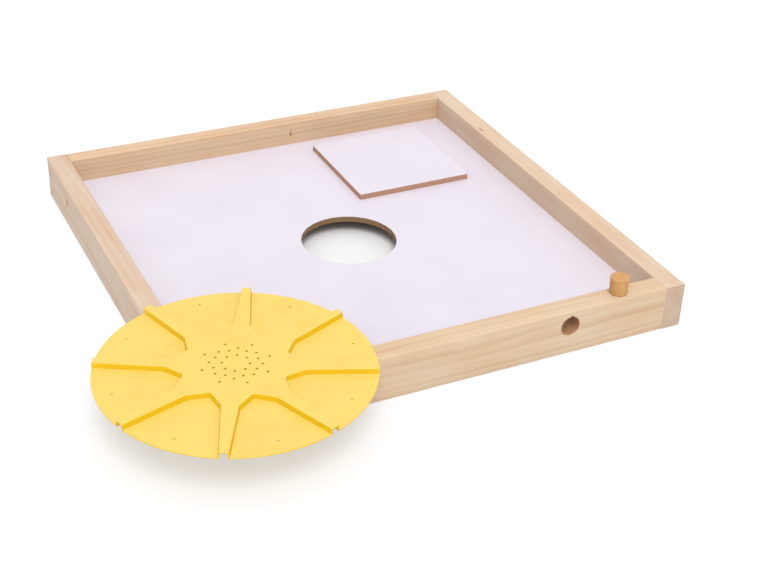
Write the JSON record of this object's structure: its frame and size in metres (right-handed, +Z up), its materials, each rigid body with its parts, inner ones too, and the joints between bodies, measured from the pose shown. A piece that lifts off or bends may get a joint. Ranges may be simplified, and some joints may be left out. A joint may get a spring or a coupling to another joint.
{
  "type": "beehive clearer board",
  "caption": "Shallow softwood frame around a hardboard panel with a bee hole, with a loose star-shaped bee escape, a square cover plate and a cork plug.",
  "frame": {"origin": "the middle of the bee hole, on the panel's upper face", "axes": "+X to the right along the front rail, +Y from the front rail to the back rail, +Z up out of the deep side of the frame"},
  "size_m": [0.5305, 0.5432, 0.0595],
  "materials": {
    "softwood": "planed, unfinished",
    "hardboard": "sawn edge",
    "melamine": "satin white facing",
    "nail_steel": "dull, lightly tarnished",
    "yellow_polypropylene": "satin moulded",
    "cork": "fine natural cork"
  },
  "bodies": {
    "board": {"left_rail": "softwood", "right_rail": "softwood", "front_rail": "softwood", "back_rail": "softwood", "panel_core": "hardboard", "panel_facing": "melamine", "nails_front_left": "nail_steel", "nails_front_right": "nail_steel", "nails_back_left": "nail_steel", "nails_back_right": "nail_steel"},
    "cover": {"cover_core": "hardboard", "cover_facing": "melamine"},
    "escape": {"bee_escape": "yellow_polypropylene"},
    "plug": {"entrance_plug": "cork"}
  },
  "joints": [
    {"name": "cover_slide", "type": "slide", "parent": "board", "child": "cover", "axis": [-0.6294, -0.7771, 0], "range_m": [0, 0.1686]},
    {"name": "escape_lift", "type": "slide", "parent": "board", "child": "escape", "axis": [0, 0, 1], "range_m": [0, 0.15]},
    {"name": "plug_lift", "type": "slide", "parent": "board", "child": "plug", "axis": [0, 0, 1], "range_m": [0, 0.1]}
  ]
}
